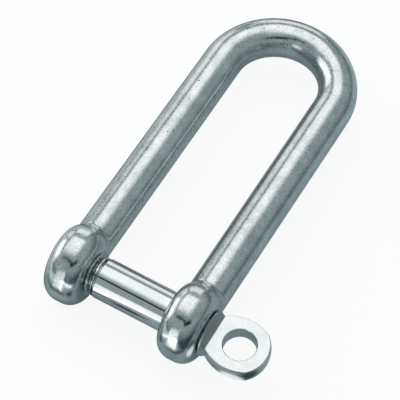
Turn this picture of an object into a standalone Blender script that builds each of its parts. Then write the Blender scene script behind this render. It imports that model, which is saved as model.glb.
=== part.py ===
"""An 8 mm long dee shackle: one bent bar with forged ears, and a screw pin with a flat eye.

Axes: X runs along the pin towards its eye, Y along the legs towards the bow, Z is up.
The origin is the bottom centre of the whole shackle, which lies on its side.
"""

import math

import bmesh
import bpy
from mathutils import Matrix, Vector

# Body, metres.
BAR_DIAMETER = 0.008
INSIDE_WIDTH = 0.0165
PIN_TO_BEND_CENTRE = 0.0557
EAR_THICKNESS = 0.0078
EAR_HALF_HEIGHT = 0.0081
EAR_REACH = 0.00765
EAR_ROUNDING = 0.0033
CLEAR_HOLE_RADIUS = 0.0042
TAPPED_HOLE_RADIUS = 0.0041
HOLE_CHAMFER = 0.0003
LEG_TAPER_START = 0.0055
LEG_END_SCALE = 0.84

# Pin, metres. Places along the pin are measured from the middle of the jaw.
SHANK_RADIUS = 0.0040
SHANK_START = -0.0066
SHANK_CHAMFER = 0.0003
RELIEF_RADIUS = 0.0035
RELIEF_WIDTH = 0.0003
THREAD_RADIUS = 0.0039
THREAD_PITCH = 0.00125
THREAD_DEPTH = 0.00065
THREAD_TIP = -0.0155
TIP_CHAMFER = 0.0006
COLLAR_START = 0.01645
COLLAR_RADIUS = 0.0046
COLLAR_ROUNDING = 0.0003
COLLAR_END = 0.0169
NECK_START = 0.0173
SHOULDER_TOP = 0.0047
STEM_END = 0.01655
SHOULDER_END = 0.01775
EYE_THICKNESS = 0.0034
EYE_HOLE_CENTRE = 0.02295
EYE_HOLE_RADIUS = 0.0032
EYE_HALF_WIDTH = 0.00562
EYE_WIDEST = 0.0226
EYE_SIDE_RADIUS = 0.0088
EYE_END_CENTRE = 0.02255
EYE_END_RADIUS = 0.0062
EYE_EDGE = 0.0002
EYE_TURN = math.radians(3.9)

# Fineness of the faceted shapes.
BAR_SIDES = 32
BEND_STEPS = 24
EAR_STEPS = 48
ROUNDING_STEPS = 7
PIN_STEPS = 32
RINGS_PER_PITCH = 6
OUTLINE_STEPS = 12
HOLE_STEPS = 40

# Worked out from the sizes above.
LEG_X = (INSIDE_WIDTH + BAR_DIAMETER) / 2
LEG_OUTSIDE = LEG_X + BAR_DIAMETER / 2
EAR_OUTSIDE = LEG_X + EAR_THICKNESS / 2
EYE_TIP = EYE_END_CENTRE + EYE_END_RADIUS
BOW_TOP = PIN_TO_BEND_CENTRE + LEG_OUTSIDE
PIN_CENTRE = Vector(((LEG_OUTSIDE - EYE_TIP) / 2, (EAR_REACH - BOW_TOP) / 2, EAR_HALF_HEIGHT))


def clear_scene():
    for obj in list(bpy.data.objects):
        bpy.data.objects.remove(obj, do_unlink=True)


def new_collection(name):
    collection = bpy.data.collections.new(name)
    bpy.context.scene.collection.children.link(collection)
    return collection


def steel(name, colour, roughness):
    material = bpy.data.materials.new(name)
    material.use_nodes = True
    shader = material.node_tree.nodes["Principled BSDF"]
    shader.inputs["Base Color"].default_value = (*colour, 1.0)
    shader.inputs["Metallic"].default_value = 1.0
    shader.inputs["Roughness"].default_value = roughness
    return material


def add_object(name, mesh, collection):
    obj = bpy.data.objects.new(name, mesh)
    obj.location = PIN_CENTRE
    collection.objects.link(obj)
    return obj


def helper(name, mesh, collection):
    obj = add_object(name, mesh, collection)
    obj.hide_render = True
    obj.display_type = "WIRE"
    return obj


def baked_mesh(obj):
    """The object's evaluated mesh, closed and facing out. The object itself is removed."""
    bpy.context.view_layer.update()
    graph = bpy.context.evaluated_depsgraph_get()
    mesh = bpy.data.meshes.new_from_object(obj.evaluated_get(graph))
    mesh.name = obj.name
    bpy.data.objects.remove(obj, do_unlink=True)
    solid = bmesh.new()
    solid.from_mesh(mesh)
    bmesh.ops.remove_doubles(solid, verts=solid.verts, dist=1e-6)
    bmesh.ops.recalc_face_normals(solid, faces=solid.faces)
    solid.to_mesh(mesh)
    solid.free()
    return mesh


def turned_mesh(name, profile, steps, collection):
    """A profile of (place along X, radius) turned round the pin's axis."""
    mesh = bpy.data.meshes.new(name)
    points = [(place, radius, 0.0) for place, radius in profile]
    mesh.from_pydata(points, [(i, i + 1) for i in range(len(points) - 1)], [])
    obj = add_object(name, mesh, collection)
    screw = obj.modifiers.new("turn", "SCREW")
    screw.axis = "X"
    screw.steps = steps
    screw.render_steps = steps
    screw.use_merge_vertices = True
    screw.merge_threshold = 1e-5
    return baked_mesh(obj)


def prism_mesh(name, outline, half_depth, collection):
    """A closed outline in the XY plane, filled and extruded both ways along Z."""
    curve = bpy.data.curves.new(name, "CURVE")
    curve.dimensions = "2D"
    curve.fill_mode = "BOTH"
    curve.extrude = half_depth
    spline = curve.splines.new("POLY")
    spline.points.add(len(outline) - 1)
    for point, (x, y) in zip(spline.points, outline):
        point.co = (x, y, 0.0, 1.0)
    spline.use_cyclic_u = True
    return baked_mesh(add_object(name, curve, collection))


def arc(centre, radius, start, end, steps):
    """Points on a circle, from one angle to another, both ends included."""
    angles = [start + (end - start) * i / steps for i in range(steps + 1)]
    return [(centre[0] + radius * math.cos(a), centre[1] + radius * math.sin(a)) for a in angles]


def combine(obj, name, operation, other):
    boolean = obj.modifiers.new(name, "BOOLEAN")
    boolean.operation = operation
    boolean.solver = "EXACT"
    boolean.object = other


def bar_mesh(collection):
    """The bent bar: two straight legs, narrowed inside the ears, and a half-round bow between them."""
    bend = arc((0.0, PIN_TO_BEND_CENTRE), LEG_X, math.pi, 0.0, BEND_STEPS)
    left_end = [(-LEG_X, 0.0), (-LEG_X, LEG_TAPER_START)]
    right_end = [(LEG_X, LEG_TAPER_START), (LEG_X, 0.0)]
    route = left_end + bend + right_end
    curve = bpy.data.curves.new("bar", "CURVE")
    curve.dimensions = "3D"
    curve.bevel_depth = BAR_DIAMETER / 2
    curve.bevel_resolution = (BAR_SIDES - 4) // 2
    curve.use_fill_caps = True
    spline = curve.splines.new("POLY")
    spline.points.add(len(route) - 1)
    for point, (x, y) in zip(spline.points, route):
        point.co = (x, y, 0.0, 1.0)
        point.radius = LEG_END_SCALE if y == 0.0 else 1.0
    return baked_mesh(add_object("bar", curve, collection))


def ear_mesh(name, side, collection):
    """A forged ear: a thick disc on the pin's axis with a fully rounded rim, a little oval."""
    inner = LEG_X - EAR_THICKNESS / 2
    rim = EAR_HALF_HEIGHT - EAR_ROUNDING
    inner_round = arc((inner + EAR_ROUNDING, rim), EAR_ROUNDING, math.pi, math.pi / 2, ROUNDING_STEPS)
    outer_round = arc((EAR_OUTSIDE - EAR_ROUNDING, rim), EAR_ROUNDING, math.pi / 2, 0.0, ROUNDING_STEPS)
    profile = [(inner, 0.0), *inner_round, *outer_round, (EAR_OUTSIDE, 0.0)]
    mesh = turned_mesh(name, [(side * x, r) for x, r in profile], EAR_STEPS, collection)
    mesh.transform(Matrix.Diagonal((1.0, EAR_REACH / EAR_HALF_HEIGHT, 1.0, 1.0)))
    return mesh


def hole_mesh(name, side, radius, collection):
    """A cutter along the pin's axis through one ear, chamfered at both faces."""
    inner = LEG_X - EAR_THICKNESS / 2
    wide = radius + HOLE_CHAMFER
    profile = [
        (INSIDE_WIDTH / 2 - HOLE_CHAMFER, 0.0),
        (INSIDE_WIDTH / 2 - HOLE_CHAMFER, wide),
        (inner, wide),
        (inner + HOLE_CHAMFER, radius),
        (EAR_OUTSIDE - HOLE_CHAMFER, radius),
        (EAR_OUTSIDE, wide),
        (LEG_OUTSIDE + HOLE_CHAMFER, wide),
        (LEG_OUTSIDE + HOLE_CHAMFER, 0.0),
    ]
    return turned_mesh(name, [(side * x, r) for x, r in profile], EAR_STEPS, collection)


def make_body(collection, helpers):
    body = add_object("shackle_body", bar_mesh(collection), collection)
    for word, side, radius in (
        ("tapped", -1, TAPPED_HOLE_RADIUS),
        ("clear", 1, CLEAR_HOLE_RADIUS),
    ):
        ear = helper(word + "_ear", ear_mesh(word + "_ear", side, helpers), helpers)
        hole = helper(word + "_hole", hole_mesh(word + "_hole", side, radius, helpers), helpers)
        combine(body, "join " + ear.name, "UNION", ear)
        combine(body, "drill " + hole.name, "DIFFERENCE", hole)
    body.data.materials.clear()
    body.data.materials.append(steel("forged stainless", (0.62, 0.65, 0.65), 0.22))
    return body


def thread_cut(place, turn):
    """How deep the helical groove is at a place along the pin, at a turn round it from 0 to 1."""
    phase = (place / THREAD_PITCH - turn) % 1.0
    flank = min(1.0, max(0.0, 1.6 * (1.0 - abs(2.0 * phase - 1.0)) - 0.3))
    start = min(1.0, max(0.0, (place - THREAD_TIP) / THREAD_PITCH))
    return THREAD_DEPTH * flank * start


def stem_mesh(collection):
    """The turned stem: threaded end, relief groove and plain shank."""
    thread_end = SHANK_START - RELIEF_WIDTH
    rings = round((thread_end - THREAD_TIP - TIP_CHAMFER) / THREAD_PITCH * RINGS_PER_PITCH)
    first = THREAD_TIP + TIP_CHAMFER
    places = [first + (thread_end - first) * i / rings for i in range(rings + 1)]
    profile = [(THREAD_TIP, 0.0), (THREAD_TIP, THREAD_RADIUS - TIP_CHAMFER)]
    profile += [(place, THREAD_RADIUS) for place in places]
    profile += [
        (thread_end + RELIEF_WIDTH / 3, RELIEF_RADIUS),
        (SHANK_START, RELIEF_RADIUS),
        (SHANK_START, SHANK_RADIUS - SHANK_CHAMFER),
        (SHANK_START + SHANK_CHAMFER, SHANK_RADIUS),
        (STEM_END, SHANK_RADIUS),
        (STEM_END, 0.0),
    ]
    mesh = turned_mesh("stem", profile, PIN_STEPS, collection)
    for vertex in mesh.vertices:
        radius = math.hypot(vertex.co.y, vertex.co.z)
        if first - 1e-6 < vertex.co.x < thread_end - 1e-6 and radius > RELIEF_RADIUS:
            turn = math.atan2(vertex.co.z, vertex.co.y) / math.tau
            scale = (radius - thread_cut(vertex.co.x, turn)) / radius
            vertex.co.y *= scale
            vertex.co.z *= scale
    return mesh


def eye_outline():
    """The head seen from above: a collar, two long bulging sides and a round end with corners."""
    side_centre = (EYE_WIDEST, EYE_HALF_WIDTH - EYE_SIDE_RADIUS)
    end_centre = (EYE_END_CENTRE, 0.0)
    gap = Vector(end_centre) - Vector(side_centre)
    along = (EYE_SIDE_RADIUS**2 - EYE_END_RADIUS**2 + gap.length_squared) / (2 * gap.length)
    across = math.sqrt(EYE_SIDE_RADIUS**2 - along**2)
    unit = gap.normalized()
    corner = Vector(side_centre) + along * unit + across * Vector((-unit.y, unit.x))
    if corner.x < EYE_END_CENTRE:
        corner = Vector(side_centre) + along * unit - across * Vector((-unit.y, unit.x))
    neck_angle = math.pi - math.acos((EYE_WIDEST - NECK_START) / EYE_SIDE_RADIUS)
    corner_angle = math.atan2(corner.y - side_centre[1], corner.x - side_centre[0])
    end_angle = math.atan2(corner.y, corner.x - EYE_END_CENTRE)
    collar = [(COLLAR_START, COLLAR_RADIUS), (COLLAR_END, COLLAR_RADIUS)]
    upper = collar + arc(side_centre, EYE_SIDE_RADIUS, neck_angle, corner_angle, OUTLINE_STEPS)
    end = arc(end_centre, EYE_END_RADIUS, end_angle, -end_angle, OUTLINE_STEPS)
    lower = [(x, -y) for x, y in reversed(upper)]
    return upper + end[1:-1] + lower


def side_outline():
    """The head seen along Y: the collar's height, the sloping shoulder and the flat eye."""
    half = EYE_THICKNESS / 2
    upper = [
        (COLLAR_START, SHOULDER_TOP),
        (SHOULDER_END, half),
        (EYE_TIP + EYE_EDGE, half),
    ]
    return upper + [(x, -y) for x, y in reversed(upper)]


def head_envelope():
    """The turned limit of the head: a collar with a rounded edge, opening out past the shoulder."""
    return [
        (COLLAR_START, 0.0),
        (COLLAR_START, COLLAR_RADIUS - COLLAR_ROUNDING),
        (COLLAR_START + COLLAR_ROUNDING, COLLAR_RADIUS),
        (COLLAR_END, COLLAR_RADIUS),
        (EYE_WIDEST, EYE_HALF_WIDTH + EYE_THICKNESS),
        (EYE_TIP + EYE_EDGE, EYE_HALF_WIDTH + EYE_THICKNESS),
        (EYE_TIP + EYE_EDGE, 0.0),
    ]


def make_pin(collection, helpers):
    """The screw pin: a head cut from a collar and a flat eye, joined to the turned stem.

    Screwed home, the eye stops a little past level.
    """
    depth = 2 * EYE_HALF_WIDTH
    pin = add_object("screw_pin", prism_mesh("eye", eye_outline(), depth, collection), collection)
    pin.data.transform(Matrix.Rotation(EYE_TURN, 4, "X"))
    side = prism_mesh("side_limit", side_outline(), depth, helpers)
    side.transform(Matrix.Rotation(math.radians(90) + EYE_TURN, 4, "X"))
    combine(pin, "flats", "INTERSECT", helper("side_limit", side, helpers))
    envelope = turned_mesh("head_limit", head_envelope(), HOLE_STEPS, helpers)
    combine(pin, "round the collar", "INTERSECT", helper("head_limit", envelope, helpers))
    edge = pin.modifiers.new("soften the edges", "BEVEL")
    edge.width = EYE_EDGE
    edge.segments = 2
    edge.limit_method = "ANGLE"
    edge.angle_limit = math.radians(40)
    stem = helper("stem", stem_mesh(helpers), helpers)
    combine(pin, "join the stem", "UNION", stem)
    eye_hole = helper("eye_hole", eye_hole_mesh(helpers), helpers)
    combine(pin, "pierce the eye", "DIFFERENCE", eye_hole)
    pin.data.materials.clear()
    pin.data.materials.append(steel("polished stainless", (0.66, 0.69, 0.69), 0.16))
    return pin


def eye_hole_mesh(collection):
    """A cutter through the eye, flared at both faces."""
    half = EYE_THICKNESS / 2
    wide = EYE_HOLE_RADIUS + 2 * EYE_EDGE
    profile = [
        (-half - EYE_EDGE, 0.0),
        (-half - EYE_EDGE, wide),
        (-half + EYE_EDGE, EYE_HOLE_RADIUS),
        (half - EYE_EDGE, EYE_HOLE_RADIUS),
        (half + EYE_EDGE, wide),
        (half + EYE_EDGE, 0.0),
    ]
    mesh = turned_mesh("eye_hole", profile, HOLE_STEPS, collection)
    upright = Matrix.Rotation(math.radians(-90), 4, "Y")
    mesh.transform(Matrix.Translation((EYE_HOLE_CENTRE, 0.0, 0.0)) @ upright)
    mesh.transform(Matrix.Rotation(EYE_TURN, 4, "X"))
    return mesh


def main():
    clear_scene()
    parts = new_collection("dee_shackle")
    helpers = new_collection("construction")
    for obj in (make_body(parts, helpers), make_pin(parts, helpers)):
        obj.data.shade_smooth()


main()
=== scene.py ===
"""The looks of the long dee shackle: fine meshes, steel finishes, studio and camera."""

import math

import bmesh
import bpy
import numpy as np
from mathutils import Matrix, Vector


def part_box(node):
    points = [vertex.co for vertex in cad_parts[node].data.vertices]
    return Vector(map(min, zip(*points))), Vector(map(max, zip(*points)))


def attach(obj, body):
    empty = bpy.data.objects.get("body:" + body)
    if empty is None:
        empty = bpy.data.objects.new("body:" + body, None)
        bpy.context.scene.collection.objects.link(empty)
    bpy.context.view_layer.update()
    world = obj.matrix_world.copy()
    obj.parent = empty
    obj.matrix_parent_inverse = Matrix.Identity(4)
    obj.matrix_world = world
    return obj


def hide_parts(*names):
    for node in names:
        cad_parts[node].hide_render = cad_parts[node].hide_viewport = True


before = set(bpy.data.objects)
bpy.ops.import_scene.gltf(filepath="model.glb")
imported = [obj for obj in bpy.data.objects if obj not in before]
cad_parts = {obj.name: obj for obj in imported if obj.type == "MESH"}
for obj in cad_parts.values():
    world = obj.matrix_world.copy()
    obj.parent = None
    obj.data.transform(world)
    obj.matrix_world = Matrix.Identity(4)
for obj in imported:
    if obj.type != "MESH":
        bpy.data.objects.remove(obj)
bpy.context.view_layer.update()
BODY_LOW, BODY_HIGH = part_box("shackle_body")
PIN_LOW, PIN_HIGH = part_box("screw_pin")

# The middle of the jaw on the pin's axis: every shape below is measured from here.
JAW = Vector(
    ((BODY_LOW.x + BODY_HIGH.x) / 2, (PIN_LOW.y + PIN_HIGH.y) / 2, (PIN_LOW.z + PIN_HIGH.z) / 2)
)

# Body, metres.
BAR_RADIUS = 0.004
LEG_X = (BODY_HIGH.x - BODY_LOW.x) / 2 - BAR_RADIUS
BEND_CENTRE = BODY_HIGH.y - JAW.y - LEG_X - BAR_RADIUS
EAR_HALF_THICKNESS = 0.0039
EAR_HALF_HEIGHT = JAW.z - BODY_LOW.z
EAR_REACH = JAW.y - BODY_LOW.y
EAR_ROUNDING = 0.0033
LEG_END = 0.0040
BOW_THINNING = 0.05
BOW_SPREAD = 0.02
FILLET = 0.0008
CLEAR_HOLE_RADIUS = 0.00415
HOLE_CHAMFER = 0.0004

# Pin, metres, along X from the middle of the jaw.
SHANK_RADIUS = 0.0040
SHANK_START = -0.0066
SHANK_CHAMFER = 0.00025
RELIEF_RADIUS = 0.0034
RELIEF_WIDTH = 0.00035
THREAD_RADIUS = 0.0039
THREAD_PITCH = 0.00125
THREAD_DEPTH = 0.00065
THREAD_TIP = PIN_LOW.x - JAW.x
TIP_CHAMFER = 0.0006
THREAD_CLEARANCE = 0.00007
COLLAR_START = 0.01630
COLLAR_RADIUS = 0.0046
COLLAR_ROUNDING = 0.0002
COLLAR_END = 0.0168
NECK_RADIUS = 0.0037
NECK_START = 0.0169
STEM_END = 0.0165
SHOULDER_TOP = 0.0048
SHOULDER_END = 0.01775
SHOULDER_BURIED = 0.0185
EYE_THICKNESS = 0.0034
EYE_HOLE_CENTRE = 0.02295
EYE_HOLE_RADIUS = 0.0032
EYE_HALF_WIDTH = 0.00562
EYE_WIDEST = 0.0226
EYE_SIDE_RADIUS = 0.0088
EYE_TIP = PIN_HIGH.x - JAW.x
EYE_END_RADIUS = 0.0062
EYE_END_CENTRE = EYE_TIP - EYE_END_RADIUS
EYE_EDGE = 0.00013
EYE_CROWN = 0.0002
EYE_TURN = math.radians(3.9)

# Fineness.
RING_SIDES = 144
TIP_RINGS = 44
EAR_RINGS = 52
LEG_RINGS = 26
BEND_RINGS = 72
EAR_TOP = 0.0150
SOLVER_STEPS = 34
TURN_STEPS = 128
OUTLINE_STEPS = 40
RINGS_PER_PITCH = 16
RIM_STEPS = 8
EDGE_STEPS = 4
SHARP_ANGLE = math.radians(35)

# Steel, the tints of its bright and dull grain and of its pits, and painted shade: a darker tint laid
# into the thread roots and onto the eye's sloping shoulder.
STEEL_BRIGHT = (0.76, 0.78, 0.785, 1.0)
BODY_DULL = (0.48, 0.52, 0.525, 1.0)
PIN_DULL = (0.60, 0.635, 0.64, 1.0)
PIT_DARK = (0.10, 0.12, 0.125, 1.0)
ROOT_SHADE = (0.12, 0.14, 0.145, 1.0)
SLOPE_SHADE = (0.30, 0.335, 0.34, 1.0)

# Camera: degrees, millimetres for the lens, metres for the rest.
CAMERA_AZIMUTH = 27.49
CAMERA_ELEVATION = 56.96
CAMERA_ROLL = 2.92
CAMERA_LENS = 190.3
CAMERA_SENSOR = 36.0
CAMERA_REACH = 10.0
CAMERA_DISTANCE = 0.4062
CAMERA_TARGET = (0.0004, 0.0245, 0.0)

# Studio. Glows are radiances, and places are metres on the floor.
WHITE = (1.0, 1.0, 1.0, 1.0)
FLOOR_HALF = 3
FLOOR_DROP = 0.00003
FLOOR_GLOW = 0.90
FLOOR_SHADOWED = (0.14, 0.14, 0.14, 1.0)
FLOOR_IN_STEEL = (0.62, 0.715, 0.735, 1.0)
FLOOR_IN_SHADE = (0.10, 0.12, 0.13, 1.0)
FRONT_GLOW = 1.35
FRONT_DRIFT = 0.13
FAR_GLOW = 0.2
LEFT_GLOW = 0.2
FAR_LEFT_GLOW = 0.25
RIM_GLOW = 0.8
RIM_GLOW_PLACE = (0.0172, -0.0388)
JAW_SHADE_PLACE = (-0.009, -0.0475)
EYE_SHADE_PLACE = (0.0265, -0.040)
SHADE_LEFT_OF_LEGS = (JAW.x - LEG_X - 0.0105, JAW.x + LEG_X - 0.025)
BOUNCE_LINES = (-0.0169, 0.0076)
BACKDROP_GLOW = 0.97
ROOM_LOW = (0.15, 0.183, 0.19, 1.0)
ROOM_HIGH = (0.345, 0.41, 0.42, 1.0)


def new_object(name, mesh):
    obj = bpy.data.objects.new(name, mesh)
    bpy.context.scene.collection.objects.link(obj)
    obj.location = JAW
    return obj


def apply_modifiers(obj):
    """Replaces the object's mesh by the evaluated one."""
    bpy.context.view_layer.update()
    graph = bpy.context.evaluated_depsgraph_get()
    mesh = bpy.data.meshes.new_from_object(obj.evaluated_get(graph))
    mesh.name = obj.name
    obj.modifiers.clear()
    obj.data = mesh
    return mesh


def tidy_mesh(mesh):
    solid = bmesh.new()
    solid.from_mesh(mesh)
    bmesh.ops.remove_doubles(solid, verts=solid.verts, dist=1e-7)
    bmesh.ops.recalc_face_normals(solid, faces=solid.faces)
    solid.to_mesh(mesh)
    solid.free()
    return mesh


def combine(obj, operation, cutter_mesh):
    """A Boolean with a mesh that is thrown away afterwards."""
    cutter = new_object("cutter", cutter_mesh)
    boolean = obj.modifiers.new("combine", "BOOLEAN")
    boolean.operation = operation
    boolean.solver = "EXACT"
    boolean.object = cutter
    apply_modifiers(obj)
    bpy.data.objects.remove(cutter, do_unlink=True)


def arc(centre, radius, start, end, steps):
    angles = [start + (end - start) * i / steps for i in range(steps + 1)]
    return [(centre[0] + radius * math.cos(a), centre[1] + radius * math.sin(a)) for a in angles]


def grid_mesh(name, rings, low_end, high_end):
    """A closed tube from rings of points, each end drawn to one point."""
    count, sides = rings.shape[:2]
    points = [tuple(p) for p in rings.reshape(-1, 3)] + [tuple(low_end), tuple(high_end)]
    faces = []
    for i in range(count - 1):
        for j in range(sides):
            k = (j + 1) % sides
            faces.append((i * sides + j, i * sides + k, (i + 1) * sides + k, (i + 1) * sides + j))
    for j in range(sides):
        k = (j + 1) % sides
        faces.append((count * sides, k, j))
        faces.append((count * sides + 1, (count - 1) * sides + j, (count - 1) * sides + k))
    mesh = bpy.data.meshes.new(name)
    mesh.from_pydata(points, [], faces)
    return tidy_mesh(mesh)


def turned_mesh(name, profile, steps=TURN_STEPS):
    """A profile of (place along X, radius), from axis to axis, turned round X."""
    inner = np.array(profile[1:-1])
    turn = np.arange(steps) * math.tau / steps
    rings = np.empty((len(inner), steps, 3))
    rings[..., 0] = inner[:, :1]
    rings[..., 1] = inner[:, 1:] * np.cos(turn)
    rings[..., 2] = inner[:, 1:] * np.sin(turn)
    return grid_mesh(name, rings, (profile[0][0], 0, 0), (profile[-1][0], 0, 0))


def ear_distance(x, y, z):
    """Distance to a thick round disc on the pin's axis with a rounded rim, a little oval."""
    across = np.hypot(y * EAR_HALF_HEIGHT / EAR_REACH, z) - (EAR_HALF_HEIGHT - EAR_ROUNDING)
    along = np.abs(x) - (EAR_HALF_THICKNESS - EAR_ROUNDING)
    outside = np.hypot(np.maximum(across, 0), np.maximum(along, 0))
    return outside + np.minimum(np.maximum(across, along), 0) - EAR_ROUNDING


def leg_distance(x, y, z):
    return np.sqrt(x**2 + z**2 + np.minimum(y - LEG_END, 0) ** 2) - BAR_RADIUS


def slope(distance, x, y, z):
    """The unit normal of a distance field, by differences."""
    step = 1e-6
    parts = [
        distance(x + step, y, z) - distance(x - step, y, z),
        distance(x, y + step, z) - distance(x, y - step, z),
        distance(x, y, z + step) - distance(x, y, z - step),
    ]
    length = np.sqrt(sum(p**2 for p in parts)) + 1e-12
    return [p / length for p in parts]


def body_distance(x, y, z):
    """Leg and ear joined by a fillet, which fades where the two surfaces run the same way."""
    leg, ear = leg_distance(x, y, z), ear_distance(x, y, z)
    facing = sum(a * b for a, b in zip(slope(leg_distance, x, y, z), slope(ear_distance, x, y, z)))
    fillet = FILLET * np.clip((1 - facing) / 0.5, 0.02, 1)
    mixed = np.clip(0.5 + 0.5 * (leg - ear) / fillet, 0, 1)
    return leg + (ear - leg) * mixed - fillet * mixed * (1 - mixed)


def ear_rings():
    """Rings round the leg's axis from the ear's tip to the plain bar, found on the joined shape."""
    tip = -EAR_REACH * np.cos(np.linspace(0, math.pi / 2, TIP_RINGS + 1)[1:])
    places = np.concatenate([tip, np.linspace(0, EAR_TOP, EAR_RINGS + 1)[1:]])
    ear_share = np.clip((0.0095 - places) / 0.004, 0, 1)
    stretch = 1 + 0.55 * ear_share * ear_share * (3 - 2 * ear_share)
    turn = np.arange(RING_SIDES) * math.tau / RING_SIDES
    around = np.arctan2(stretch[:, None] * np.sin(turn), np.cos(turn))
    along = np.broadcast_to(places[:, None], around.shape)
    low, high = np.zeros_like(around), np.full_like(around, 2 * EAR_HALF_HEIGHT)
    for _ in range(SOLVER_STEPS):
        middle = (low + high) / 2
        inside = body_distance(middle * np.cos(around), along, middle * np.sin(around)) < 0
        low, high = np.where(inside, middle, low), np.where(inside, high, middle)
    return np.stack([low * np.cos(around), along, low * np.sin(around)], axis=-1)


def body_mesh():
    """The whole bent bar: ear, leg, half-round bow a little flattened by bending, leg, ear."""
    ear = ear_rings()
    turn = np.arange(RING_SIDES) * math.tau / RING_SIDES
    circle = np.stack([np.cos(turn), np.zeros(RING_SIDES), np.sin(turn)], axis=-1) * BAR_RADIUS
    leg_places = np.linspace(EAR_TOP, BEND_CENTRE, LEG_RINGS + 1)[1:-1]
    leg = circle[None] + np.stack([0 * leg_places, leg_places, 0 * leg_places], -1)[:, None]
    left = np.concatenate([ear, leg]) + np.array([-LEG_X, 0, 0])
    right = left * np.array([-1, 1, 1])
    # A mirrored ring is read the other way round, so that it matches the rings of the bow.
    right = right[::-1]
    bow = []
    for angle in np.linspace(math.pi, 0, BEND_RINGS + 1):
        outward = np.array([math.cos(angle), math.sin(angle), 0])
        bent = math.sin(angle)
        side = -circle[:, :1] * outward * (1 - BOW_THINNING * bent)
        rise = circle * [0, 0, 1 + BOW_SPREAD * bent]
        bow.append(np.array([0, BEND_CENTRE, 0]) + LEG_X * outward + side + rise)
    rings = np.concatenate([left, np.array(bow), right])
    return grid_mesh("body", rings, (-LEG_X, -EAR_REACH, 0), (LEG_X, -EAR_REACH, 0))


def thread_cut(place, turn, depth, shift=0.0):
    """How deep the helical groove is at a place along the pin and a turn round it from 0 to 1."""
    phase = (place / THREAD_PITCH - turn) % 1.0
    flank = np.clip(1.6 * (1.0 - np.abs(2.0 * phase - 1.0)) - 0.3 + shift, 0, 1)
    return depth * flank


def threaded(mesh, first, last, depth, shift=0.0):
    """Cuts the helical groove into the turned skin between two places along the pin."""
    points = np.empty(len(mesh.vertices) * 3)
    mesh.vertices.foreach_get("co", points)
    points = points.reshape(-1, 3)
    radius = np.hypot(points[:, 1], points[:, 2])
    on_thread = (points[:, 0] > first - 1e-7) & (points[:, 0] < last + 1e-7) & (radius > 1e-5)
    turn = np.arctan2(points[:, 2], points[:, 1]) / math.tau
    cut = thread_cut(points[:, 0], turn, depth, shift) * on_thread
    points[:, 1:] *= ((radius - cut) / np.maximum(radius, 1e-9))[:, None]
    mesh.vertices.foreach_set("co", points.reshape(-1))
    mesh.update()
    return mesh


def clear_hole_mesh(side):
    """A plain drilled hole through one ear, chamfered at both faces."""
    inner = LEG_X - EAR_HALF_THICKNESS
    outer = LEG_X + EAR_HALF_THICKNESS
    wide = CLEAR_HOLE_RADIUS + HOLE_CHAMFER
    profile = [
        (inner - BAR_RADIUS / 8, 0.0),
        (inner - BAR_RADIUS / 8, wide),
        (inner, wide),
        (inner + HOLE_CHAMFER, CLEAR_HOLE_RADIUS),
        (outer - HOLE_CHAMFER, CLEAR_HOLE_RADIUS),
        (outer, wide),
        (outer + BAR_RADIUS / 8, wide),
        (outer + BAR_RADIUS / 8, 0.0),
    ]
    return turned_mesh("hole", [(side * x, r) for x, r in profile])


def tapped_hole_mesh():
    """The cutter of the tapped hole: the pin's own thread with a little clearance."""
    start = -LEG_X - EAR_HALF_THICKNESS - BAR_RADIUS / 8
    end = -LEG_X + EAR_HALF_THICKNESS + BAR_RADIUS / 8
    steps = round((end - start) / THREAD_PITCH * RINGS_PER_PITCH / 2)
    radius = THREAD_RADIUS + THREAD_CLEARANCE
    places = [start + (end - start) * i / steps for i in range(steps + 1)]
    profile = [(start, 0.0)] + [(place, radius) for place in places] + [(end, 0.0)]
    mesh = turned_mesh("tap", profile)
    return threaded(mesh, start, end, THREAD_DEPTH - THREAD_CLEARANCE)


def mouth_mesh(side):
    """The countersinks at the two faces of the tapped hole."""
    wide = THREAD_RADIUS + 2 * HOLE_CHAMFER
    face = LEG_X + side * EAR_HALF_THICKNESS
    beyond = face + side * BAR_RADIUS / 8
    profile = [
        (face - side * 2 * HOLE_CHAMFER, 0.0),
        (face - side * 2 * HOLE_CHAMFER, wide - 3 * HOLE_CHAMFER),
        (face, wide),
        (beyond, wide),
        (beyond, 0.0),
    ]
    return turned_mesh("mouth", [(-x, r) for x, r in profile])


def make_body():
    body = new_object("body_forging", body_mesh())
    combine(body, "DIFFERENCE", clear_hole_mesh(1))
    combine(body, "DIFFERENCE", tapped_hole_mesh())
    combine(body, "DIFFERENCE", mouth_mesh(1))
    combine(body, "DIFFERENCE", mouth_mesh(-1))
    return body


def stem_mesh():
    """The turned stem: threaded end, relief groove and plain shank."""
    thread_end = SHANK_START - RELIEF_WIDTH
    first = THREAD_TIP + TIP_CHAMFER
    rings = round((thread_end - first) / THREAD_PITCH * RINGS_PER_PITCH)
    places = [first + (thread_end - first) * i / rings for i in range(rings + 1)]
    profile = [(THREAD_TIP, 0.0), (THREAD_TIP, THREAD_RADIUS - TIP_CHAMFER)]
    profile += [(place, THREAD_RADIUS) for place in places]
    profile += [
        (thread_end + RELIEF_WIDTH / 3, RELIEF_RADIUS),
        (SHANK_START, RELIEF_RADIUS),
        (SHANK_START, SHANK_RADIUS - SHANK_CHAMFER),
        (SHANK_START + SHANK_CHAMFER / 2, SHANK_RADIUS - SHANK_CHAMFER / 4),
        (SHANK_START + SHANK_CHAMFER, SHANK_RADIUS),
        (STEM_END, SHANK_RADIUS),
        (STEM_END, 0.0),
    ]
    return threaded(turned_mesh("stem", profile), first, thread_end - 1e-6, THREAD_DEPTH)


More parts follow.
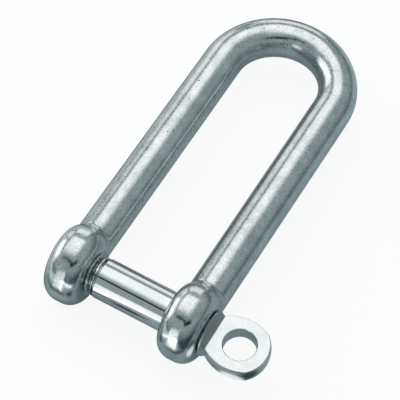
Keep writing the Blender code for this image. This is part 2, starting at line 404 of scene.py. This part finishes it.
def eye_corner(side_centre):
    """Where a side's arc crosses the arc of the eye's round end."""
    gap = Vector((EYE_END_CENTRE, 0.0)) - side_centre
    along = (EYE_SIDE_RADIUS**2 - EYE_END_RADIUS**2 + gap.length_squared) / (2 * gap.length)
    across = math.sqrt(EYE_SIDE_RADIUS**2 - along**2)
    unit = gap.normalized()
    corners = [side_centre + along * unit + s * across * Vector((-unit.y, unit.x)) for s in (1, -1)]
    return max(corners, key=lambda c: c.x)


def eye_outline():
    """The flat eye seen from above: two long bulging sides and a round end, with corners."""
    side_centre = Vector((EYE_WIDEST, EYE_HALF_WIDTH - EYE_SIDE_RADIUS))
    corner = eye_corner(side_centre)
    neck_angle = math.pi - math.acos((EYE_WIDEST - NECK_START) / EYE_SIDE_RADIUS)
    corner_angle = math.atan2(corner.y - side_centre.y, corner.x - side_centre.x)
    end_angle = math.atan2(corner.y, corner.x - EYE_END_CENTRE)
    upper = arc(side_centre, EYE_SIDE_RADIUS, neck_angle, corner_angle, OUTLINE_STEPS)
    end = arc((EYE_END_CENTRE, 0.0), EYE_END_RADIUS, end_angle, -end_angle, OUTLINE_STEPS)
    return upper + end[1:-1] + [(x, -y) for x, y in reversed(upper)]


def prism_mesh(name, outline, levels):
    """A closed outline in the XY plane, carried through levels of (height, move inwards)."""
    count = len(outline)
    path = np.array(outline)
    tangent = np.roll(path, -1, axis=0) - np.roll(path, 1, axis=0)
    inward = np.stack([-tangent[:, 1], tangent[:, 0]], axis=1)
    inward /= np.linalg.norm(inward, axis=1)[:, None]
    area = np.sum(path[:, 0] * np.roll(path[:, 1], -1) - path[:, 1] * np.roll(path[:, 0], -1))
    inward *= math.copysign(1.0, area)
    points = []
    faces = [tuple(range(count)), tuple(range(count * (len(levels) - 1), count * len(levels)))]
    for level, (height, shrink) in enumerate(levels):
        points += [(x, y, height) for x, y in path + inward * shrink]
        base = count * level
        if level:
            corners = [(i, (i + 1) % count) for i in range(count)]
            faces += [(base - count + i, base - count + k, base + k, base + i) for i, k in corners]
    mesh = bpy.data.meshes.new(name)
    mesh.from_pydata(points, [], faces)
    return tidy_mesh(mesh)


def eye_mesh():
    """The flat eye: its rim crowned between the faces, with a small round at each edge."""
    half = EYE_THICKNESS / 2
    flat = half - EYE_EDGE
    shares = [i / RIM_STEPS for i in range(-RIM_STEPS, RIM_STEPS + 1)]
    rim = [(flat * share, EYE_CROWN * share**2) for share in shares]
    turns = [math.pi / 2 * i / EDGE_STEPS for i in range(1, EDGE_STEPS + 1)]
    edge = [(flat + EYE_EDGE * math.sin(a), EYE_CROWN + EYE_EDGE * (1 - math.cos(a))) for a in turns]
    lower_edge = [(-height, shrink) for height, shrink in reversed(edge)]
    return prism_mesh("eye", eye_outline(), lower_edge + rim + edge)


def slope_mesh():
    """The shoulder's limit seen along Y: sloping from the collar's top down to the flats."""
    inside = EYE_THICKNESS / 2 - EYE_EDGE
    upper = [
        (COLLAR_START, SHOULDER_TOP),
        (SHOULDER_END, EYE_THICKNESS / 2),
        (SHOULDER_END + EYE_EDGE / 10, inside),
        (SHOULDER_BURIED, inside),
    ]
    outline = upper + [(x, -y) for x, y in reversed(upper)]
    mesh = prism_mesh("slope", outline, [(-2 * COLLAR_RADIUS, 0.0), (2 * COLLAR_RADIUS, 0.0)])
    mesh.transform(Matrix.Rotation(math.radians(90) + EYE_TURN, 4, "X"))
    return mesh


def collar_mesh():
    """The turned collar and the neck that runs into the eye."""
    profile = [
        (COLLAR_START, 0.0),
        (COLLAR_START, COLLAR_RADIUS - COLLAR_ROUNDING),
        (COLLAR_START + COLLAR_ROUNDING, COLLAR_RADIUS),
        (COLLAR_END, COLLAR_RADIUS),
        (SHOULDER_BURIED - EYE_EDGE, NECK_RADIUS),
        (SHOULDER_BURIED - EYE_EDGE, 0.0),
    ]
    return turned_mesh("collar", profile)


def eye_hole_mesh():
    half = EYE_THICKNESS / 2
    wide = EYE_HOLE_RADIUS + 2 * EYE_EDGE
    profile = [
        (-half - EYE_EDGE, 0.0),
        (-half - EYE_EDGE, wide),
        (-half + EYE_EDGE, EYE_HOLE_RADIUS),
        (half - EYE_EDGE, EYE_HOLE_RADIUS),
        (half + EYE_EDGE, wide),
        (half + EYE_EDGE, 0.0),
    ]
    mesh = turned_mesh("eye_hole", profile)
    upright = Matrix.Rotation(math.radians(-90), 4, "Y")
    mesh.transform(Matrix.Translation((EYE_HOLE_CENTRE, 0.0, 0.0)) @ upright)
    mesh.transform(Matrix.Rotation(EYE_TURN, 4, "X"))
    return mesh


def make_pin():
    flat = eye_mesh()
    flat.transform(Matrix.Rotation(EYE_TURN, 4, "X"))
    pin = new_object("pin_turning", collar_mesh())
    combine(pin, "INTERSECT", slope_mesh())
    combine(pin, "UNION", flat)
    combine(pin, "UNION", stem_mesh())
    combine(pin, "DIFFERENCE", eye_hole_mesh())
    return pin


def finish_shading(obj):
    obj.data.shade_smooth()
    obj.data.set_sharp_from_angle(angle=SHARP_ANGLE)
    if obj.name.startswith("pin"):
        mark_eye_corners(obj.data)
    weighted = obj.modifiers.new("even shading", "WEIGHTED_NORMAL")
    weighted.keep_sharp = True
    apply_modifiers(obj)


class Graph:
    """A short way to write a node tree: each call adds a node and gives back its first output."""

    def __init__(self, tree):
        self.tree = tree

    def add(self, kind, output=0, settings=None, **inputs):
        """Inputs go by a socket's name, or by its number as i0, i1 and so on."""
        node = self.tree.nodes.new(kind)
        for key, value in (settings or {}).items():
            setattr(node, key, value)
        for key, value in inputs.items():
            numbered = key[0] == "i" and key[1:].isdigit()
            socket = node.inputs[int(key[1:]) if numbered else key]
            if isinstance(value, bpy.types.NodeSocket):
                self.tree.links.new(value, socket)
            else:
                socket.default_value = value
        return node.outputs[output] if len(node.outputs) else None

    def axes(self, vector):
        """The X, Y and Z of a vector, as sockets."""
        node = self.add("ShaderNodeSeparateXYZ", Vector=vector).node
        return node.outputs

    def math(self, operation, a, b=0.0):
        return self.add("ShaderNodeMath", settings={"operation": operation}, i0=a, i1=b)

    def ramp(self, value, low, high, to_low=0.0, to_high=1.0):
        """A smooth step of value from low to high."""
        settings = {"interpolation_type": "SMOOTHSTEP"}
        limits = {"i1": low, "i2": high, "i3": to_low, "i4": to_high}
        return self.add("ShaderNodeMapRange", settings=settings, i0=value, **limits)

    def noise(self, vector, scale, detail=2.0, roughness=0.5):
        inputs = {"Scale": scale, "Detail": detail, "Roughness": roughness}
        return self.add("ShaderNodeTexNoise", Vector=vector, **inputs)

    def stretched(self, vector, scale):
        settings = {"operation": "MULTIPLY"}
        return self.add("ShaderNodeVectorMath", settings=settings, i0=vector, i1=scale)

    def length(self, vector):
        return self.add("ShaderNodeVectorMath", "Value", {"operation": "LENGTH"}, i0=vector)

    def distance(self, a, b):
        return self.add("ShaderNodeVectorMath", "Value", {"operation": "DISTANCE"}, i0=a, i1=b)

    def larger(self, a, b):
        return self.math("MAXIMUM", a, b)

    def times(self, a, b):
        return self.math("MULTIPLY", a, b)

    def plus(self, a, b):
        return self.math("ADD", a, b)

    def away(self, a, b):
        """How far one number is from another."""
        return self.math("ABSOLUTE", self.math("SUBTRACT", a, b))

    def blend(self, factor, a, b):
        settings = {"data_type": "RGBA"}
        return self.add("ShaderNodeMix", 2, settings, i0=factor, i6=a, i7=b)

    def bump(self, height, distance, normal=None):
        extra = {"Normal": normal} if normal is not None else {}
        return self.add("ShaderNodeBump", Strength=1.0, Distance=distance, Height=height, **extra)


def new_material(name):
    material = bpy.data.materials.new(name)
    material.use_nodes = True
    material.node_tree.nodes.clear()
    return material, Graph(material.node_tree)


def finish_material(graph, shader):
    graph.add("ShaderNodeOutputMaterial", Surface=shader)


def body_steel():
    """Forged stainless, belt-polished along the bar and tumbled: bright, with a fine grain and pits."""
    material, g = new_material("body_steel")
    place = g.add("ShaderNodeTexCoord", "Object")
    along_bar = g.add("ShaderNodeAttribute", "Vector", {"attribute_name": "bar_place"})
    grain = g.noise(place, 2400.0, 4.0, 0.72)
    cloud = g.noise(place, 330.0, 3.0)
    dents = g.noise(place, 620.0, 2.0)
    swell = g.noise(place, 130.0, 1.0)
    belt = g.noise(g.stretched(along_bar, (2600.0, 90.0, 0.0)), 1.0, 2.0, 0.6)
    cells = g.add("ShaderNodeTexVoronoi", Vector=place, Scale=950.0)
    sparse = g.ramp(g.noise(place, 620.0, 1.0), 0.60, 0.66)
    pits = g.times(g.ramp(cells, 0.17, 0.09), sparse)
    tone = g.plus(g.times(grain, 0.65), g.times(cloud, 0.35))
    colour = g.blend(g.ramp(tone, 0.36, 0.64), BODY_DULL, STEEL_BRIGHT)
    colour = g.blend(pits, colour, PIT_DARK)
    rough = g.plus(g.ramp(grain, 0.35, 0.7, 0.10, 0.22), g.ramp(belt, 0.3, 0.7, 0.0, 0.05))
    rough = g.plus(rough, g.times(pits, 0.3))
    normal = g.bump(swell, 0.00005)
    normal = g.bump(belt, 0.0000015, normal)
    normal = g.bump(dents, 0.000022, normal)
    normal = g.bump(grain, 0.000011, normal)
    normal = g.bump(g.math("SUBTRACT", 1.0, pits), 0.00003, normal)
    shader = g.add(
        "ShaderNodeBsdfPrincipled",
        Metallic=1.0,
        Roughness=rough,
        Normal=normal,
        **{"Base Color": colour},
    )
    finish_material(g, shader)
    return material


def pin_steel():
    """Turned stainless, polished: fine rings round the stem, an even frosting on the pressed eye."""
    material, g = new_material("pin_steel")
    place = g.add("ShaderNodeTexCoord", "Object")
    axes = g.axes(place)
    radius = g.length(g.stretched(place, (0.0, 1.0, 1.0)))
    on_eye = g.ramp(axes[0], COLLAR_START, SHOULDER_END)
    on_collar = g.ramp(axes[0], COLLAR_START, COLLAR_START + COLLAR_ROUNDING)
    on_thread = g.ramp(axes[0], SHANK_START, SHANK_START - RELIEF_WIDTH)
    root = g.times(g.ramp(radius, THREAD_RADIUS, THREAD_RADIUS - THREAD_DEPTH), on_thread)
    rings = g.noise(g.stretched(place, (9000.0, 220.0, 220.0)), 1.0, 3.0, 0.6)
    grain = g.noise(place, 3200.0, 3.0, 0.65)
    cloud = g.noise(place, 420.0, 3.0)
    swell = g.noise(place, 150.0, 1.0)
    skin = g.add("ShaderNodeMix", 0, i0=on_eye, i2=rings, i3=grain)
    tone = g.plus(g.times(skin, 0.6), g.times(cloud, 0.4))
    colour = g.blend(g.ramp(tone, 0.3, 0.7), PIN_DULL, STEEL_BRIGHT)
    # Painted shade: the thread roots are darkened in the colour.
    colour = g.blend(g.times(root, 0.75), colour, ROOT_SHADE)
    # Painted shade: the sloping shoulder between collar and eye is darkened in the colour; it is also
    # made rougher.
    on_slope = g.times(on_collar, g.ramp(axes[0], SHOULDER_END + EYE_EDGE, SHOULDER_END))
    colour = g.blend(g.times(on_slope, 0.4), colour, SLOPE_SHADE)
    rough = g.plus(g.ramp(skin, 0.3, 0.7, 0.06, 0.13), g.times(on_eye, 0.12))
    rough = g.plus(rough, g.times(on_slope, 0.25))
    rough = g.plus(rough, g.times(root, 0.15))
    normal = g.bump(swell, 0.00002)
    normal = g.bump(skin, 0.0000012, normal)
    shader = g.add(
        "ShaderNodeBsdfPrincipled",
        Metallic=1.0,
        Roughness=rough,
        Normal=normal,
        **{"Base Color": colour},
    )
    finish_material(g, shader)
    return material


def mark_bar_places(mesh):
    """Stores each point's place round and along the bent bar, in metres, for the polishing marks."""
    points = np.empty(len(mesh.vertices) * 3)
    mesh.vertices.foreach_get("co", points)
    x, y, z = points.reshape(-1, 3).T
    bend = np.arctan2(np.maximum(y - BEND_CENTRE, 0.0), -x)
    on_bow = y > BEND_CENTRE
    from_centre = np.hypot(x, y - BEND_CENTRE)
    out = np.where(on_bow, from_centre, np.abs(x)) - LEG_X
    on_leg = np.where(x < 0, y, BEND_CENTRE * 2 + math.pi * LEG_X - y)
    along = np.where(on_bow, BEND_CENTRE + bend * LEG_X, on_leg)
    around = np.arctan2(z, out) * BAR_RADIUS
    values = np.stack([around, along, 0 * x], axis=-1).reshape(-1)
    mesh.attributes.new("bar_place", "FLOAT_VECTOR", "POINT").data.foreach_set("vector", values)


def soft_card(name, centre, turn, size, radiance, feather, oval=False):
    """A glowing soft box, seen only in reflections and by its light, dimming towards its edges."""
    wide, high = size[0] / 2, size[1] / 2
    mesh = bpy.data.meshes.new(name)
    corners = [(-wide, -high, 0), (wide, -high, 0), (wide, high, 0), (-wide, high, 0)]
    mesh.from_pydata(corners, [], [(0, 1, 2, 3)])
    card = bpy.data.objects.new(name, mesh)
    bpy.context.scene.collection.objects.link(card)
    card.location = centre
    card.rotation_euler = [math.radians(a) for a in turn]
    card.visible_camera = False
    material, g = new_material(name)
    place = g.add("ShaderNodeTexCoord", "Generated")
    axes = g.axes(place)
    mask = 1.0
    if oval:
        flat = g.stretched(place, (1.0, 1.0, 0.0))
        mask = g.ramp(g.distance(flat, (0.5, 0.5, 0.0)), 0.5, 0.25)
    for axis in (0, 1):
        before, after = feather[axis]
        mask = g.times(g.ramp(axes[axis], 0.0, before), mask)
        mask = g.times(g.ramp(axes[axis], 1.0, 1.0 - after), mask)
    glow = g.add("ShaderNodeEmission", Color=WHITE, Strength=radiance)
    beyond = g.add("ShaderNodeBsdfTransparent")
    finish_material(g, g.add("ShaderNodeMixShader", i0=mask, i1=beyond, i2=glow))
    mesh.materials.append(material)
    return card


def spot(g, place, centre, inner, outer):
    """1 within the inner distance of a place on the floor, falling to 0 at the outer one."""
    return g.ramp(g.distance(place, (*centre, 0.0)), inner, outer, 1.0, 0.0)


def beside_legs(g, axes, left_x, right_x):
    """How far a place on the floor is from the nearer of two lines that run along the legs."""
    from_middle = g.away(axes[0], (left_x + right_x) / 2)
    return g.away(from_middle, (right_x - left_x) / 2)


def front_strips(g, axes, ahead):
    """The two bright strips that run out in front of the ears, drifting to the left."""
    drift = g.times(ahead, FRONT_DRIFT)
    from_middle = g.math("ABSOLUTE", g.plus(g.math("SUBTRACT", axes[0], JAW.x), drift))
    spread = g.math("SUBTRACT", g.away(from_middle, LEG_X), drift)
    return g.times(g.ramp(ahead, 0.011, 0.019), g.ramp(spread, -0.001, 0.004, 1.0, 0.0))


def floor_glow(g, place, axes, ahead, behind, right_front):
    """How brightly each place on the floor glows in the steel, on top of the light it sends back."""
    glow = g.times(front_strips(g, axes, ahead), FRONT_GLOW)
    far = g.ramp(ahead, 0.02, 0.04, 0.0, FAR_GLOW)
    glow = g.plus(glow, g.times(far, g.math("SUBTRACT", 1.0, right_front)))
    to_left = g.ramp(axes[0], BODY_LOW.x - 0.016, BODY_LOW.x - 0.024)
    glow = g.plus(glow, g.times(to_left, LEFT_GLOW))
    glow = g.plus(glow, g.ramp(axes[0], -0.12, -0.2, 0.0, FAR_LEFT_GLOW))
    glow = g.plus(glow, g.times(spot(g, place, RIM_GLOW_PLACE, 0.0025, 0.0045), RIM_GLOW))
    bounce = g.ramp(beside_legs(g, axes, *BOUNCE_LINES), 0.001, 0.0035, 0.12, 0.0)
    return g.plus(glow, g.times(bounce, behind))


def floor_shade(g, place, axes, ahead, behind, right_front):
    """How far each place on the floor is turned down in the steel, from 0 to 1."""
    edge = g.times(g.ramp(ahead, 0.0065, 0.0095), g.ramp(ahead, 0.013, 0.018, 0.85, 0.0))
    edge = g.times(edge, g.ramp(g.away(axes[0], JAW.x), 0.006, 0.010, 0.15, 1.0))
    far_left = g.times(g.ramp(axes[0], -0.058, -0.07), g.ramp(axes[0], -0.13, -0.09, 0.0, 0.75))
    contact = g.ramp(beside_legs(g, axes, *SHADE_LEFT_OF_LEGS), 0.0035, 0.006, 0.8, 0.0)
    shades = [
        far_left,
        spot(g, place, EYE_SHADE_PLACE, 0.004, 0.009),
        spot(g, place, JAW_SHADE_PLACE, 0.002, 0.006),
        g.ramp(axes[0], 0.025, 0.09, 0.0, 0.3),
        right_front,
        g.times(contact, behind),
    ]
    for shade in shades:
        edge = g.larger(edge, shade)
    return edge


def make_floor():
    """A pale floor: nearly white to the eye, and in the steel a cooler grey with strips and shades."""
    mesh = bpy.data.meshes.new("floor")
    corners = [(-1, -1, 0), (1, -1, 0), (1, 1, 0), (-1, 1, 0)]
    mesh.from_pydata([Vector(corner) * FLOOR_HALF for corner in corners], [], [(0, 1, 2, 3)])
    floor = bpy.data.objects.new("floor", mesh)
    bpy.context.scene.collection.objects.link(floor)
    floor.location = (0.0, 0.0, -FLOOR_DROP)
    material, g = new_material("floor")
    path = g.tree.nodes.new("ShaderNodeLightPath").outputs["Is Camera Ray"]
    place = g.add("ShaderNodeTexCoord", "Object")
    axes = g.axes(place)
    ahead = g.math("SUBTRACT", BODY_LOW.y, axes[1])
    behind = g.ramp(axes[1], BODY_LOW.y - 0.006, BODY_LOW.y + 0.006)
    right_front = g.times(g.ramp(axes[0], 0.009, 0.021), g.ramp(ahead, 0.006, 0.010))
    glow = floor_glow(g, place, axes, ahead, behind, right_front)
    shade = floor_shade(g, place, axes, ahead, behind, right_front)
    seen_glow = g.add("ShaderNodeEmission", Color=WHITE, Strength=FLOOR_GLOW)
    seen_cloth = g.add("ShaderNodeBsdfDiffuse", Color=FLOOR_SHADOWED)
    seen = g.add("ShaderNodeAddShader", i0=seen_glow, i1=seen_cloth)
    lit_cloth = g.add("ShaderNodeBsdfDiffuse", Color=g.blend(shade, FLOOR_IN_STEEL, FLOOR_IN_SHADE))
    lit_patch = g.add("ShaderNodeEmission", Color=WHITE, Strength=glow)
    lit = g.add("ShaderNodeAddShader", i0=lit_cloth, i1=lit_patch)
    finish_material(g, g.add("ShaderNodeMixShader", i0=path, i1=lit, i2=seen))
    mesh.materials.append(material)


def make_surroundings():
    """Pale to the eye. In the steel: a cool grey room, darker low down where the soft boxes end."""
    world = bpy.data.worlds.new("studio")
    world.use_nodes = True
    world.node_tree.nodes.clear()
    g = Graph(world.node_tree)
    path = g.tree.nodes.new("ShaderNodeLightPath").outputs["Is Camera Ray"]
    place = g.add("ShaderNodeTexCoord", "Generated")
    axes = g.axes(place)
    room = g.blend(g.ramp(axes[2], 0.0, 0.5), ROOM_LOW, ROOM_HIGH)
    seen = g.add("ShaderNodeBackground", Color=WHITE, Strength=BACKDROP_GLOW)
    lit = g.add("ShaderNodeBackground", Color=room, Strength=1.0)
    g.add("ShaderNodeOutputWorld", Surface=g.add("ShaderNodeMixShader", i0=path, i1=lit, i2=seen))
    bpy.context.scene.world = world


def make_studio():
    """The floor, the room and the cards: name, centre, turn, size, radiance and soft edges."""
    even = ((0.1, 0.1), (0.2, 0.2))
    make_floor()
    make_surroundings()
    overhead_edges = ((0.05, 0.45), (0.35, 0.05))
    soft_card("overhead_box", (-0.115, 0.145, 0.6), (0, 0, 0), (0.77, 0.85), 1.3, overhead_edges)
    left_edges = ((0.25, 0.2), (0.2, 0.2))
    soft_card("left_box", (-0.6, -0.02, 0.26), (0, 90, 0), (0.5, 0.66), 1.6, left_edges)
    left_far_edges = ((0.1, 0.15), (0.05, 0.1))
    soft_card("left_far_box", (-0.6, 0.5, 0.235), (0, 90, 0), (0.44, 0.36), 1.05, left_far_edges)
    front_edges = ((0.05, 0.05), (0.05, 0.05))
    soft_card("front_box", (-0.12, -0.6, 0.11), (90, 0, 0), (0.25, 0.40), 1.3, front_edges, True)
    back_edges = ((0.2, 0.1), (0.1, 0.1))
    soft_card("back_strip", (-0.30, 0.7, 0.21), (90, 0, 0), (0.44, 0.38), 1.1, back_edges)
    soft_card("dark_flag", (0.0, -0.365, 0.5), (0, 0, -12), (0.5, 0.12), 0.0, even)
    side_edges = ((0.1, 0.1), (0.15, 0.15))
    soft_card("dark_side_flag", (0.25, -0.39, 0.499), (0, 0, 30), (0.5, 0.26), 0.0, side_edges)


def make_camera():
    """A long lens, high over the eye's side and a little rolled."""
    turns = (CAMERA_AZIMUTH, CAMERA_ELEVATION, CAMERA_ROLL)
    azimuth, elevation, roll = (math.radians(turn) for turn in turns)
    back = Vector(
        (
            math.sin(azimuth) * math.cos(elevation),
            -math.cos(azimuth) * math.cos(elevation),
            math.sin(elevation),
        )
    )
    level = Vector((math.cos(azimuth), math.sin(azimuth), 0.0))
    rise = back.cross(level)
    right = math.cos(roll) * level + math.sin(roll) * rise
    up = back.cross(right)
    camera_data = bpy.data.cameras.new("camera")
    camera_data.lens = CAMERA_LENS
    camera_data.sensor_width = CAMERA_SENSOR
    camera_data.clip_end = CAMERA_REACH
    camera = bpy.data.objects.new("camera", camera_data)
    bpy.context.scene.collection.objects.link(camera)
    place = JAW + Vector(CAMERA_TARGET) + CAMERA_DISTANCE * back
    camera.matrix_world = Matrix.Translation(place) @ Matrix((right, up, back)).transposed().to_4x4()
    bpy.context.scene.camera = camera


def mark_eye_corners(mesh):
    """Keeps the corner where each side of the eye meets its round end crisp."""
    upper = eye_corner(Vector((EYE_WIDEST, EYE_HALF_WIDTH - EYE_SIDE_RADIUS)))
    corners = [upper, Vector((upper.x, -upper.y))]
    upright = Matrix.Rotation(-EYE_TURN, 3, "X")
    reach = 1.5 * (EYE_CROWN + EYE_EDGE)
    for edge in mesh.edges:
        ends = [upright @ mesh.vertices[i].co for i in edge.vertices]
        near = [min((end.xy - corner).length for corner in corners) < reach for end in ends]
        if all(near) and abs(ends[0].z - ends[1].z) > 0.4 * (ends[0] - ends[1]).length:
            edge.use_edge_sharp = True


def finish_piece(piece, material, body, node):
    finish_shading(piece)
    piece.data.materials.clear()
    piece.data.materials.append(material)
    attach(piece, body)
    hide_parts(node)


body = make_body()
mark_bar_places(body.data)
finish_piece(body, body_steel(), "body", "shackle_body")
finish_piece(make_pin(), pin_steel(), "pin", "screw_pin")
make_studio()
make_camera()
bpy.context.scene.view_settings.view_transform = "Standard"
